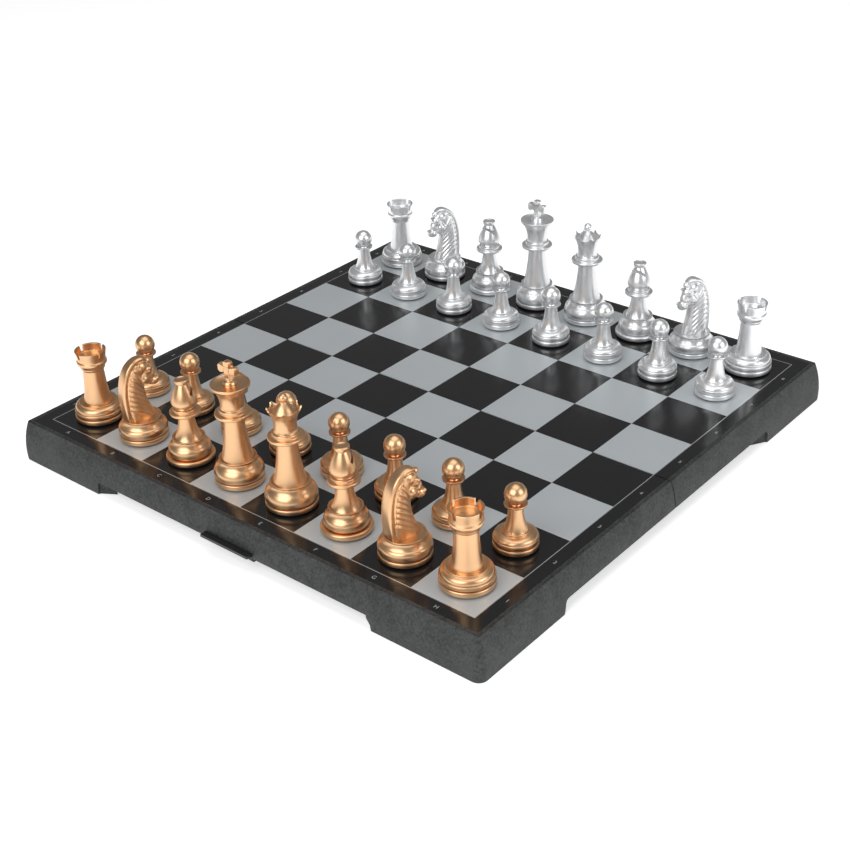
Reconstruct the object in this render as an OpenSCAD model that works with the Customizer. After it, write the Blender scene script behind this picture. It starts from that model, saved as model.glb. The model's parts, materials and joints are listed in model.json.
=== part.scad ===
/* [Board] */
// Side of one square
square = 41; // [38:0.5:44]
// Width of the printed border outside the squares
margin = 10.25; // [8:0.25:14]
// Height of the open board, table to playing surface
board_h = 25.4; // [24:0.2:30]
// How far the bowed wall stands out past the rim
bulge = 4; // [2:0.25:6]
// Wall thickness of the moulded shells
wall = 2.2; // [1.8:0.1:2.6]
// Gap between the two halves at the seam
seam_gap = 0.7; // [0.3:0.1:0.8]

/* [Feet] */
// Height of the raised rim between the corner feet
rim_h = 8.9; // [7.6:0.1:9.4]
// Distance from the middle of a side to where its foot begins
foot_start = 107; // [90:1:125]
// How much shorter a foot is at the table than at the rim
foot_slant = 1; // [0:0.5:6]
// How far a foot reaches in from the outside of the wall
foot_depth = 6.9; // [5:0.1:6.9]
// How much further a foot runs on its inner side
foot_splay = 10; // [4:1:16]

/* [Playing surface] */
// Thickness of the printed sheet
sheet_t = 0.8; // [0.6:0.1:1.2]
// Thickness of the steel plate below the sheet
plate_t = 0.5; // [0.4:0.1:0.8]

/* [Trays] */
// Wall thickness of the storage trays
tray_t = 1.4; // [1:0.1:2]
// Compartments along a tray
tray_cols = 4; // [2:1:5]
// Compartments across a tray
tray_rows = 2; // [1:1:3]

/* [Hinges] */
// Distance of each hinge from the middle of the board
hinge_x = 112; // [60:1:140]
// Height of the hinge pins above the table
pin_h = 4; // [3.6:0.1:4.4]
// Radius of a hinge pin
pin_r = 1.25; // [1:0.05:1.4]
// Radial running clearance of a pin in its bore
pin_fit = 0.05; // [0.03:0.01:0.1]
// Radius of the hinge eyes
eye_r = 3; // [2.7:0.1:3.2]
// Width of a hinge link along the seam
link_w = 10; // [6:0.5:16]
// Width of each lug beside a link
lug_w = 4; // [3:0.5:6]

/* [Latch] */
// Length of the latch lip along the wall
latch_w = 36.6; // [26:0.2:44]
// Distance of the latch from the middle of the front
latch_x = 4.5; // [0:0.5:12]
// How far the lip stands out past the wall
lip_out = 3.7; // [2:0.1:5]
// Thickness of the lip
lip_t = 1.7; // [1.2:0.1:2.4]
// Length of the latch flap from its pin to its tip
flap_l = 16; // [15.6:0.1:16.4]

/* [Chess pieces] */
// Height of a king
king_h = 76; // [68:0.5:82]
// Base diameter of a king
king_d = 29; // [26:0.5:31]
// Height of a queen
queen_h = 69; // [62:0.5:76]
// Base diameter of a queen
queen_d = 30; // [27:0.5:32]
// Height of a bishop
bishop_h = 52; // [48:0.5:60]
// Base diameter of a bishop
bishop_d = 29; // [26:0.5:31]
// Height of a knight
knight_h = 53; // [50:0.5:60]
// Base diameter of a knight
knight_d = 29.5; // [27:0.5:32]
// Height of a rook
rook_h = 46; // [44:0.5:56]
// Base diameter of a rook
rook_d = 30; // [27:0.5:32]
// Height of a pawn
pawn_h = 38.5; // [35:0.5:44]
// Base diameter of a pawn
pawn_d = 25; // [23:0.2:28]
// Radius of the magnet in each base
magnet_r = 6; // [4:0.25:7]
// Thickness of the magnet in each base
magnet_t = 3; // [2:0.25:4]

/* [Hidden] */
$fn = 64;

charcoal = [0.27, 0.28, 0.28];
printed = [0.12, 0.12, 0.13];
steel = [0.6, 0.61, 0.63];
tray_grey = [0.18, 0.18, 0.19];
gold = [0.82, 0.6, 0.42];
silver = [0.78, 0.79, 0.8];
latch_black = [0.06, 0.06, 0.065];

// playing surface and shell
rim_t = 0.9;              // rim left standing round the sheet
sheet_fit = 0.1;          // play of the sheet in its recess
sheet_s = 4 * square + margin;
shell_s = sheet_s + sheet_fit + rim_t;
corner_r = 1.5;           // shell corner at the rim
bulge_z = 5;              // height at which the wall is widest
rise = board_h - bulge_z;
arc_r = (rise * rise + bulge * bulge) / (2 * bulge);
outer = shell_s + bulge;
deck_top = board_h - sheet_t - plate_t;
deck_t = 2;
rib_t = 1.6;
deck_low = deck_top - deck_t;
half_gap = seam_gap / 2;

// hinge pins stand as far from the seam as they are high
pin_y = pin_h + 0.2;
link_gap = 0.3;           // side play of a link between its lugs

// latch pin inside the front wall, below the lip of its bracket
latch_y = outer - 2.05;
latch_z = 8;
latch_fit = 0.05;
latch_pin_r = 0.9;
barrel_r = 1.8;
ear_r = 2;
ear_w = 3;
ear_gap = 0.3;            // side play of the flap between the ears
flap_w = latch_w - 2 * (ear_w + ear_gap);
flap_t = 2;
flap_drop = 4.1;          // underside of the flap below its pin
lip_low = latch_z + 2.5;
lip_top = lip_low + lip_t;
notch_fit = 0.15;
notch_z = lip_top + notch_fit;
notch_x = latch_w / 2 + notch_fit;
hook_t = 1.5;
plate_h = 4.6;            // height of the bracket's plate above the lip
// inside face of the bowed wall, at the top of that plate
wall_back = outer - arc_r
  + sqrt(pow(arc_r - wall, 2) - pow(lip_low + plate_h - bulge_z, 2));

// trays
tray_x = shell_s - 3.3;
tray_in = 9;
tray_out = latch_y - flap_l - 2.2;
tray_low = 0.3;

// pieces
rest_gap = 0.05;          // a piece stands this far above the sheet
pad_t = 0.6;
loose = 0.05;             // gap round a magnet and above a pad

function file_x(i) = (i - 3.5) * square;
function rank_y(j) = (j - 3.5) * square;

// points of an arc, from angle a0 to a1
function arc(cx, cy, r, a0, a1, n = 5) =
  [for (i = [0 : n]) let (a = a0 + (a1 - a0) * i / n) [cx + r * cos(a), cy + r * sin(a)]];

// points of a curve that leaves p0 and reaches p2, drawn towards p1
function bow(p0, p1, p2, n = 6) =
  [for (i = [0 : n]) let (t = i / n) (1 - t) * (1 - t) * p0 + 2 * t * (1 - t) * p1 + t * t * p2];

// wall outline: r from the corner axis, bowed, with its inside moved in by inset
module wall_outline(inset, low, high) {
  intersection() {
    translate([corner_r + bulge - arc_r, bulge_z])
      circle(r = arc_r - inset, $fn = 180);
    translate([0, low])
      square([corner_r + bulge + 1, high - low]);
  }
}

// solid of the whole outer form of the front half, or of its hollow
module half_form(inset, low, high, seam) {
  c = shell_s - corner_r;
  translate([-c, -c, low])
    cube([2 * c, c - seam, high - low]);
  for (s = [-1, 1])
    translate([s * c, -c, 0])
      rotate([0, 0, s < 0 ? 180 : 270])
        rotate_extrude(angle = 90)
          wall_outline(inset, low, high);
  translate([-c, -c, 0])
    rotate([90, 0, 0])
      rotate([0, 90, 0])
        linear_extrude(2 * c)
          mirror([1, 0])
            wall_outline(inset, low, high);
  for (s = [0, 1])
    mirror([s, 0, 0])
      translate([c, -seam, 0])
        rotate([90, 0, 0])
          linear_extrude(c - seam)
            wall_outline(inset, low, high);
}

// the arch that is left open between two feet, cut through a wall
module arch(span, depth) {
  rotate([90, 0, 0])
    linear_extrude(depth)
      polygon(concat(
        [[-span - foot_slant - 1, -1]],
        [[-span - foot_slant, 0]],
        bow([-span - 0.3, rim_h - 2.8], [-span, rim_h], [-span + 2.8, rim_h]),
        bow([span - 2.8, rim_h], [span, rim_h], [span + 0.3, rim_h - 2.8]),
        [[span + foot_slant, 0]],
        [[span + foot_slant + 1, -1]]));
}

module shell_half() {
  difference() {
    half_form(0, 0, board_h, half_gap);
    // hollow
    half_form(wall, -1, deck_low, half_gap + wall);
    // recess for the steel plate and the sheet
    translate([-sheet_s - sheet_fit, -sheet_s - sheet_fit, deck_top])
      cube([2 * (sheet_s + sheet_fit), sheet_s + sheet_fit + 1, board_h]);
    // rim raised between the feet, front and sides
    translate([0, -shell_s + 12, 0])
      arch(foot_start, 30);
    for (s = [-1, 1])
      translate([s > 0 ? shell_s - 12 : -shell_s + 12, 0, 0])
        rotate([0, 0, s * 90])
          arch(foot_start, 30);
    // seam wall raised all along
    translate([-outer - 1, -half_gap - wall - 0.5, -1])
      cube([2 * outer + 2, wall + 1, rim_h + 1]);
  }
}

// inner rib of each corner foot, which closes the ends of the foot too
module foot_ribs() {
  o = outer - 1;
  i = outer - foot_depth;
  a = foot_start + foot_slant + 0.5;
  b = a - foot_splay;
  t = rib_t;
  e = rib_t * sqrt(foot_splay * foot_splay + (o - i) * (o - i)) / (o - i);
  for (s = [0, 1])
    mirror([s, 0, 0])
      intersection() {
        linear_extrude(rim_h + 2)
          difference() {
            polygon([[a, -o], [o, -o], [o, -a], [i, -b], [i, -i], [b, -i]]);
            polygon([
              [a + e, -o - 1], [o + 1, -o - 1], [o + 1, -a - e],
              [i + t, -b - e], [i + t, -i - t], [b + e, -i - t]]);
          }
        half_form(0.8, 0, rim_h + 3, half_gap);
      }
}

// lugs for the hinge pins, moulded to the seam wall
module hinge_lugs() {
  for (h = [-1, 1])
    for (s = [-1, 1])
      translate([h * hinge_x + s * (link_w / 2 + link_gap + lug_w / 2), 0, 0])
        difference() {
          union() {
            translate([-lug_w / 2, -pin_y, pin_h])
              rotate([0, 90, 0])
                cylinder(r = eye_r, h = lug_w);
            translate([-lug_w / 2, -pin_y - eye_r, pin_h])
              cube([lug_w, 2 * eye_r, deck_low - pin_h + 0.5]);
          }
          translate([-lug_w / 2 - 1, -pin_y, pin_h])
            rotate([0, 90, 0])
              cylinder(r = pin_r + pin_fit, h = lug_w + 2);
        }
}

module shell_front() {
  color(charcoal)
    difference() {
      union() {
        shell_half();
        foot_ribs();
        hinge_lugs();
      }
      latch_cut();
    }
}

module shell_rear() {
  color(charcoal)
    mirror([0, 1, 0])
      union() {
        shell_half();
        foot_ribs();
        hinge_lugs();
        keeper_pad();
      }
}

// notch in the front wall that the latch bracket fills
module latch_cut() {
  translate([latch_x - notch_x, -outer - 1, -1])
    cube([2 * notch_x, wall + 3, notch_z + 1]);
}

// pad on the inside of the rear wall that the keeper is fixed to
module keeper_pad() {
  translate([latch_x - latch_w / 2, -outer + 1.6, rim_h])
    cube([latch_w, 1.4, 6]);
}

module sheet_front() {
  color(printed)
    translate([-sheet_s, -sheet_s, board_h - sheet_t])
      cube([2 * sheet_s, sheet_s - half_gap, sheet_t]);
}

module sheet_rear() {
  mirror([0, 1, 0])
    sheet_front();
}

module steel_plate_front() {
  color(steel)
    translate([-sheet_s + 2, -sheet_s + 2, deck_top])
      cube([2 * sheet_s - 4, sheet_s - half_gap - 4, plate_t]);
}

module steel_plate_rear() {
  mirror([0, 1, 0])
    steel_plate_front();
}

// storage tray: open towards the table, so it opens when the case is undone
module tray_front() {
  long = 2 * tray_x;
  deep = tray_out - tray_in;
  cell_x = (long - (tray_cols + 1) * tray_t) / tray_cols;
  cell_y = (deep - (tray_rows + 1) * tray_t) / tray_rows;
  color(tray_grey)
    difference() {
      translate([-tray_x, -tray_out, tray_low])
        cube([long, deep, deck_low - tray_low]);
      for (i = [0 : tray_cols - 1])
        for (j = [0 : tray_rows - 1])
          translate([
            -tray_x + tray_t + i * (cell_x + tray_t),
            -tray_out + tray_t + j * (cell_y + tray_t),
            tray_low - 1])
            cube([cell_x, cell_y, deck_low - tray_low - tray_t + 1]);
    }
}

module tray_rear() {
  mirror([0, 1, 0])
    tray_front();
}

// links that carry both pins of each hinge
module hinge_links() {
  color(steel)
    for (h = [-1, 1])
      translate([h * hinge_x - link_w / 2, 0, pin_h])
        difference() {
          union() {
            for (s = [-1, 1])
              translate([0, s * pin_y, 0])
                rotate([0, 90, 0])
                  cylinder(r = eye_r, h = link_w);
            translate([0, -pin_y, -eye_r + 0.8])
              cube([link_w, 2 * pin_y, 2 * eye_r - 1.6]);
          }
          for (s = [-1, 1])
            translate([-1, s * pin_y, 0])
              rotate([0, 90, 0])
                cylinder(r = pin_r + pin_fit, h = link_w + 2);
        }
}

module hinge_pins(side) {
  length = link_w + 2 * link_gap + 2 * lug_w;
  color(steel)
    for (h = [-1, 1])
      translate([h * hinge_x - length / 2, side * pin_y, pin_h])
        rotate([0, 90, 0])
          cylinder(r = pin_r, h = length);
}

module hinge_pins_front() {
  hinge_pins(-1);
}

module hinge_pins_rear() {
  hinge_pins(1);
}

// bracket that fills the notch: lip outside, plate inside, ears for the pin
module latch_bracket() {
  back = wall_back - notch_fit;
  color(latch_black)
    translate([latch_x, 0, 0])
      difference() {
        union() {
          translate([-latch_w / 2, -outer - lip_out, lip_low])
            cube([latch_w, lip_out + outer - back + 1, lip_t]);
          translate([-latch_w / 2 - 3, -back, lip_low])
            cube([latch_w + 6, 1.9, plate_h]);
          for (s = [-1, 1])
            translate([s * (latch_w / 2 - ear_w / 2) - ear_w / 2, -latch_y, latch_z]) {
              rotate([0, 90, 0])
                cylinder(r = ear_r, h = ear_w);
              translate([0, -ear_r, 0])
                cube([ear_w, 2 * ear_r, lip_low - latch_z + 0.5]);
            }
        }
        translate([-latch_w, -latch_y, latch_z])
          rotate([0, 90, 0])
            cylinder(r = latch_pin_r + latch_fit, h = 2 * latch_w);
      }
}

// flap folded in under the rim, hook up; it swings down and out on its pin
module latch_flap() {
  color(latch_black)
    translate([latch_x - flap_w / 2, -latch_y, latch_z])
      rotate([90, 0, 90])
        linear_extrude(flap_w)
          difference() {
            union() {
              circle(r = barrel_r);
              polygon([
                [-barrel_r, 0],
                [2, -flap_drop],
                [flap_l, -flap_drop],
                [flap_l, -flap_drop + 4.5],
                [flap_l - hook_t, -flap_drop + 4.5],
                [flap_l - hook_t, -flap_drop + flap_t],
                [3, -flap_drop + flap_t],
                [barrel_r, 0]]);
            }
            circle(r = latch_pin_r + latch_fit);
          }
}

module latch_pin() {
  length = latch_w - 0.4;
  color(steel)
    translate([latch_x - length / 2, -latch_y, latch_z])
      rotate([0, 90, 0])
        cylinder(r = latch_pin_r, h = length);
}

// bar behind the rear wall with a nib that the hook catches
module latch_keeper() {
  w = flap_w - 2;
  face = outer - 3;
  nib = outer - 1.25;
  color(latch_black)
    translate([latch_x - w / 2, 0, 0])
      rotate([90, 0, 90])
        linear_extrude(w)
          polygon([
            [face - 2.6, 14],
            [face - 2.6, 4.3],
            [nib, 4.3],
            [nib, 5.4],
            [nib - 0.4, 6],
            [face, 6],
            [face, 14]]);
}

// turned base: foot ring, groove, swelling bell up to a lip, and a sunk top.
// swell and lip are shares of the base radius; top is the height of the lip
function base_points(r, swell, lip, top) = concat(
  [[0, pad_t + loose], [0.93 * r, pad_t + loose]],
  arc(r - 1.5, 2.3, 1.5, -60, 70, 6),
  [[0.9 * r, 4.1], [(swell - 0.12) * r, 4.6]],
  arc(swell * r - 2.2, 7, 2.2, -55, 20, 5),
  bow([swell * r - 0.3, 8], [lip * r + 1.4, max(top - 3.6, 8.2)], [lip * r + 0.1, top - 1.4], 5),
  arc(lip * r - 0.5, top - 0.5, 0.5, -40, 130, 5));

// body turned from its outline, with the pocket and disc of the magnet
module turned(r, swell, lip, top, outline) {
  difference() {
    rotate_extrude()
      polygon(concat(base_points(r, swell, lip, top), outline));
    translate([0, 0, -1])
      cylinder(r = magnet_r + loose, h = 1 + pad_t + loose + magnet_t + loose);
  }
  foot(r);
}

// magnet and felt pad
module foot(r) {
  translate([0, 0, pad_t + loose])
    cylinder(r = magnet_r, h = magnet_t);
  cylinder(r = 0.88 * r, h = pad_t);
}

module pawn() {
  r = pawn_d / 2;
  ball = 0.49 * r;
  neck = pawn_h - 2 * ball;
  turned(r, 1, 0.6, 11.2, concat(
    bow([0.56 * r, 10.9], [0.36 * r, 15], [0.31 * r, neck - 1.1], 7),
    arc(0.48 * r - 0.6, neck - 0.3, 0.6, -80, 80, 6),
    [[0.3 * r, neck + 0.4]],
    arc(0, pawn_h - ball, ball, -55, 90, 12)));
}

module rook() {
  r = rook_d / 2;
  collar = rook_h - 13;
  difference() {
    turned(r, 1, 0.755, 12, concat(
      bow([0.6 * r, 11.5], [0.47 * r, 17], [0.43 * r, collar], 6),
      [[0.5 * r, collar + 1.2], [0.53 * r, collar + 3.6]],
      arc(0.6 * r - 0.9, collar + 5.2, 0.9, -80, 80, 6),
      [[0.56 * r, collar + 6.6]],
      [[0.64 * r, rook_h - 0.5], [0.61 * r, rook_h], [0.52 * r, rook_h]],
      [[0.48 * r, rook_h - 5], [0, rook_h - 5]]));
    for (a = [0 : 90 : 270])
      rotate([0, 0, a])
        translate([0, 0, rook_h - 4])
          rotate([90, 0, 0])
            linear_extrude(r)
              polygon([[-0.8, 0], [0.8, 0], [1.6, 4.5], [-1.6, 4.5]]);
  }
}

module king() {
  r = king_d / 2;
  collar = king_h - 33.5;
  crown = king_h - 13.5;
  turned(r, 1, 0.74, 16, concat(
    bow([0.66 * r, 15.6], [0.47 * r, 24], [0.39 * r, collar - 1.2], 8),
    [[0.47 * r, collar - 0.6]],
    arc(0.72 * r - 1.1, collar + 1.3, 1.1, -80, 80, 6),
    [[0.5 * r, collar + 3]],
    arc(0.54 * r - 0.8, collar + 4.2, 0.8, -80, 80, 4),
    bow([0.46 * r, collar + 5.4], [0.46 * r, crown - 7], [0.76 * r, crown - 1.3], 7),
    [[0.79 * r, crown - 0.9], [0.79 * r, crown - 0.2], [0.74 * r, crown]],
    [[0.5 * r, crown - 1.4], [0.24 * r, crown - 1], [0.24 * r, crown + 0.8]],
    [[0.14 * r, crown + 1.6], [0.14 * r, crown + 3.6], [0, crown + 3.6]]));
  cross(king_h - crown - 3, crown + 3);
}

// flared cross that stands across the board
module cross(h, z) {
  w = 0.45 * king_d;
  translate([0, 1.9, z])
    rotate([90, 0, 0])
      linear_extrude(3.8)
        polygon([
          [-0.2 * w, 0], [0.2 * w, 0],
          [0.13 * w, 0.34 * h], [0.5 * w, 0.24 * h],
          [0.5 * w, 0.76 * h], [0.13 * w, 0.66 * h],
          [0.22 * w, h], [-0.22 * w, h],
          [-0.13 * w, 0.66 * h], [-0.5 * w, 0.76 * h],
          [-0.5 * w, 0.24 * h], [-0.13 * w, 0.34 * h]]);
}

module queen() {
  r = queen_d / 2;
  collar = queen_h - 27;
  crown = queen_h - 10.5;
  difference() {
    turned(r, 1, 0.745, 16, concat(
      bow([0.65 * r, 15.6], [0.46 * r, 22], [0.38 * r, collar - 1.2], 8),
      [[0.46 * r, collar - 0.6]],
      arc(0.7 * r - 1.1, collar + 1.3, 1.1, -80, 80, 6),
      [[0.48 * r, collar + 2.8]],
      arc(0.53 * r - 0.8, collar + 4, 0.8, -80, 80, 4),
      bow([0.42 * r, collar + 5.2], [0.4 * r, crown - 5], [0.58 * r, crown + 0.6], 7),
      [[0.62 * r, crown + 2], [0.57 * r, crown + 2], [0.46 * r, crown - 0.6]],
      bow([0.46 * r, crown - 0.6], [0.22 * r, crown + 3.4], [0.1 * r, crown + 6], 5),
      arc(0, queen_h - 2.6, 2.6, -55, 90, 8)));
    for (a = [0 : 45 : 315])
      rotate([0, 0, a + 22.5])
        translate([0.62 * r, 0, crown + 2.6])
          rotate([0, 90, 0])
            translate([0, 0, -2.4])
              cylinder(r = 2.2, h = 6, $fn = 24);
  }
}

// the slot of the mitre is cut in its front, the side that the piece faces
module bishop(facing) {
  r = bishop_d / 2;
  collar = bishop_h - 22;
  mid = bishop_h - 14;
  difference() {
    turned(r, 0.87, 0.66, 15, concat(
      bow([0.56 * r, 14.6], [0.36 * r, 18.5], [0.31 * r, collar - 0.6], 7),
      arc(0.63 * r - 1, collar + 0.8, 1, -80, 80, 6),
      arc(0.48 * r - 0.8, collar + 2.9, 0.8, -80, 80, 4),
      [[0.37 * r, collar + 4.4]],
      bow([0.37 * r, collar + 4.6], [0.54 * r, collar + 5.6], [0.54 * r, mid + 1], 5),
      bow([0.54 * r, mid + 1], [0.52 * r, mid + 5], [0.22 * r, bishop_h - 3], 7),
      [[0.21 * r, bishop_h - 2.6], [0.28 * r, bishop_h - 2.2]],
      [[0.28 * r, bishop_h - 0.5], [0.22 * r, bishop_h], [0, bishop_h]]));
    rotate([0, 0, facing])
      translate([-r, 1, bishop_h - 9.8])
        rotate([45, 0, 0])
          cube([2 * r, 14, 1.8]);
  }
}

// horse head: profile in the y-z plane, facing +Y
module horse(h, wide, grow) {
  z0 = 12;
  translate([-wide / 2, 0, 0])
    rotate([90, 0, 90])
      linear_extrude(wide)
        polygon(concat(
          [[-8.6 - grow, z0], [8.2, z0]],
          bow([8, z0 + 2], [4.4, z0 + 8], [4.6, z0 + 15], 5),
          [[7.6, z0 + 17.4], [10.2, z0 + 19]],
          bow([10.2, z0 + 19], [13.4, z0 + 20], [12.4, z0 + 24.4], 4),
          bow([12.4, z0 + 24.4], [9.4, z0 + 27], [7.8, z0 + 32], 4),
          [[8, z0 + 36]],
          bow([6.4, h - 3.6], [3.6, h], [0, h], 4),
          bow([0, h], [-11 - grow, h - 1], [-11 - grow, z0 + 19], 8),
          bow([-11 - grow, z0 + 19], [-11 - grow, z0 + 7], [-8.6 - grow, z0], 5)));
}

module knight(facing) {
  r = knight_d / 2;
  turned(r, 1, 0.78, 14.5, [
    [0.66 * r, 14.1],
    [0, 14.1]]);
  rotate([0, 0, facing])
    intersection() {
      union() {
        horse(knight_h, 9.5, -0.6);
        horse(knight_h - 1.4, 12.5, -2.6);
      }
      cylinder(r = 13.4, h = knight_h + 1);
    }
}

module place(file, rank) {
  translate([file_x(file), rank_y(rank), board_h + rest_gap])
    children();
}

module gold_rook_a() { color(gold) place(0, 0) rook(); }
module gold_knight_b() { color(gold) place(1, 0) knight(0); }
module gold_bishop_c() { color(gold) place(2, 0) bishop(0); }
module gold_king_d() { color(gold) place(3, 0) king(); }
module gold_queen_e() { color(gold) place(4, 0) queen(); }
module gold_bishop_f() { color(gold) place(5, 0) bishop(0); }
module gold_knight_g() { color(gold) place(6, 0) knight(0); }
module gold_rook_h() { color(gold) place(7, 0) rook(); }
module gold_pawn(i) { color(gold) place(i, 1) pawn(); }
module silver_rook_a() { color(silver) place(0, 7) rook(); }
module silver_knight_b() { color(silver) place(1, 7) knight(180); }
module silver_bishop_c() { color(silver) place(2, 7) bishop(180); }
module silver_king_d() { color(silver) place(3, 7) king(); }
module silver_queen_e() { color(silver) place(4, 7) queen(); }
module silver_bishop_f() { color(silver) place(5, 7) bishop(180); }
module silver_knight_g() { color(silver) place(6, 7) knight(180); }
module silver_rook_h() { color(silver) place(7, 7) rook(); }
module silver_pawn(i) { color(silver) place(i, 6) pawn(); }

shell_front();
shell_rear();
sheet_front();
sheet_rear();
steel_plate_front();
steel_plate_rear();
tray_front();
tray_rear();
hinge_links();
hinge_pins_front();
hinge_pins_rear();
latch_bracket();
latch_flap();
latch_pin();
latch_keeper();
gold_rook_a();
gold_knight_b();
gold_bishop_c();
gold_king_d();
gold_queen_e();
gold_bishop_f();
gold_knight_g();
gold_rook_h();
gold_pawn(0);  // gold_pawn_a
gold_pawn(1);  // gold_pawn_b
gold_pawn(2);  // gold_pawn_c
gold_pawn(3);  // gold_pawn_d
gold_pawn(4);  // gold_pawn_e
gold_pawn(5);  // gold_pawn_f
gold_pawn(6);  // gold_pawn_g
gold_pawn(7);  // gold_pawn_h
silver_rook_a();
silver_knight_b();
silver_bishop_c();
silver_king_d();
silver_queen_e();
silver_bishop_f();
silver_knight_g();
silver_rook_h();
silver_pawn(0);  // silver_pawn_a
silver_pawn(1);  // silver_pawn_b
silver_pawn(2);  // silver_pawn_c
silver_pawn(3);  // silver_pawn_d
silver_pawn(4);  // silver_pawn_e
silver_pawn(5);  // silver_pawn_f
silver_pawn(6);  // silver_pawn_g
silver_pawn(7);  // silver_pawn_h
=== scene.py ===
import bpy
import bmesh
import json
import math
from mathutils import Matrix, Vector


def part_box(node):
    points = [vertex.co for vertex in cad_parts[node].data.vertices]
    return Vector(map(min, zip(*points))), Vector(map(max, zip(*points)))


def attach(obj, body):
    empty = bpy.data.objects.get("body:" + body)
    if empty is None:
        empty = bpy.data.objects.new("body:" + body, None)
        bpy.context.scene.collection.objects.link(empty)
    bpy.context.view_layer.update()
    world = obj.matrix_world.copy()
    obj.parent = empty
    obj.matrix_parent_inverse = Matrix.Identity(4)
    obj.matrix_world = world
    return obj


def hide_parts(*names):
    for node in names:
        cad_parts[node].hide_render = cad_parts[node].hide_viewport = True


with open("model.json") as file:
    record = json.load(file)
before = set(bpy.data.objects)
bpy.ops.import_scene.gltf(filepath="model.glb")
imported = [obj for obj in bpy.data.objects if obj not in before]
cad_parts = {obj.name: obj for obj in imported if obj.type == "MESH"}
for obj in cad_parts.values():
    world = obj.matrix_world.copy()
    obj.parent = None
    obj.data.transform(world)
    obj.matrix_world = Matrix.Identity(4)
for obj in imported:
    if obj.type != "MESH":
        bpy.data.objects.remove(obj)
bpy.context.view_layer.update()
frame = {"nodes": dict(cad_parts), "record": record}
millimetre = 0.001
nearZero = 1e-6
print("frame loaded:", len(frame["nodes"]), "nodes")

board = {
    "square": 41.0,  # side of a square, mm
    "files": "ABCDEFGH",
    "topNode": "sheet_front",
    "restGap": 0.05,  # a piece stands this far above the sheet
    "knightTurn": -15.0,  # degrees
}
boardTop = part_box(board["topNode"])[1].z


def squareMiddle(number):
    # mm from the middle of the board to the middle of that file or rank
    return (number - 3.5) * board["square"]


# shader helpers

class Wire:
    # a shader value that can be added, scaled and compared like a number

    def __init__(self, tree, socket=None):
        self.tree = tree
        self.socket = socket

    def node(self, kind, settings=None, sockets=None, out=0):
        made = self.tree.nodes.new(kind)
        for name, value in (settings or {}).items():
            setattr(made, name, value)
        for name, value in (sockets or {}).items():
            target = made.inputs[name]
            if isinstance(value, Wire):
                self.tree.links.new(value.socket, target)
            else:
                target.default_value = value
        return Wire(self.tree, made.outputs[out])

    def maths(self, operation, first, second=0.0):
        return self.node("ShaderNodeMath", {"operation": operation}, {0: first, 1: second})

    def __add__(self, other):
        return self.maths("ADD", self, other)

    def __radd__(self, other):
        return self.maths("ADD", other, self)

    def __sub__(self, other):
        return self.maths("SUBTRACT", self, other)

    def __mul__(self, other):
        return self.maths("MULTIPLY", self, other)

    def __truediv__(self, other):
        return self.maths("DIVIDE", self, other)

    def __mod__(self, other):
        return self.maths("FLOORED_MODULO", self, other)

    def __gt__(self, other):
        return self.maths("GREATER_THAN", self, other)

    def __lt__(self, other):
        return self.maths("LESS_THAN", self, other)

    def blendColours(self, first, second):
        # this wire is the share of the second colour
        return self.node("ShaderNodeMix", {"data_type": "RGBA"}, {0: self, 6: first, 7: second}, 2)


def newMaterial(name, viewColour):
    material = bpy.data.materials.new(name)
    material.use_nodes = True
    material.diffuse_color = (*viewColour, 1)
    tree = material.node_tree
    shader = tree.nodes["Principled BSDF"]
    return material, Wire(tree), shader


def feed(wire, shader, **inputs):
    for name, value in inputs.items():
        socket = shader.inputs[name.replace("_", " ")]
        if isinstance(value, Wire):
            wire.tree.links.new(value.socket, socket)
        else:
            socket.default_value = value


def objectPlace(wire):
    return wire.node("ShaderNodeTexCoord", out=3)


def grain(wire, place, size, detail=3.0, roughness=0.55):
    return wire.node("ShaderNodeTexNoise", {"noise_dimensions": "3D"},
                     {"Vector": place, "Scale": 1.0 / size, "Detail": detail,
                      "Roughness": roughness})


def raised(wire, height, strength, distance):
    return wire.node("ShaderNodeBump", None,
                     {"Height": height, "Strength": strength, "Distance": distance})


# finishes

platedGold = {"colour": (0.86, 0.525, 0.285), "rough": 0.32, "coat": 0.1, "metal": 1.0}
platedSilver = {"colour": (0.93, 0.94, 0.95), "rough": 0.29, "coat": 0.0, "metal": 0.8}
plating = {"cloud": 0.012, "fine": 0.0006, "deep": 0.86, "roughSpread": 0.08, "coatRough": 0.3}


def makePlated(name, look):
    material, wire, shader = newMaterial(name, look["colour"])
    place = objectPlace(wire)
    cloud = grain(wire, place, plating["cloud"], 2.0)
    fine = grain(wire, place, plating["fine"], 2.0)
    deep = tuple(c * plating["deep"] for c in look["colour"])
    colour = cloud.blendColours((*deep, 1), (*look["colour"], 1))
    feed(wire, shader, Base_Color=colour, Metallic=look["metal"],
         Roughness=look["rough"] - plating["roughSpread"] / 2 + cloud * plating["roughSpread"],
         Normal=raised(wire, fine, 0.03, 0.0001), Coat_Weight=look["coat"],
         Coat_Roughness=plating["coatRough"])
    return material


feltLook = {"dark": (0.008, 0.008, 0.009), "light": (0.03, 0.03, 0.032), "fibre": 0.0004,
            "rough": 0.95, "sheen": 0.3}


def makeFelt():
    material, wire, shader = newMaterial("blackFelt", (0.02, 0.02, 0.02))
    fibre = grain(wire, objectPlace(wire), feltLook["fibre"], 4.0, 0.7)
    colour = fibre.blendColours((*feltLook["dark"], 1), (*feltLook["light"], 1))
    feed(wire, shader, Base_Color=colour, Roughness=feltLook["rough"],
         Normal=raised(wire, fibre, 0.5, 0.0003), Sheen_Weight=feltLook["sheen"])
    return material


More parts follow.
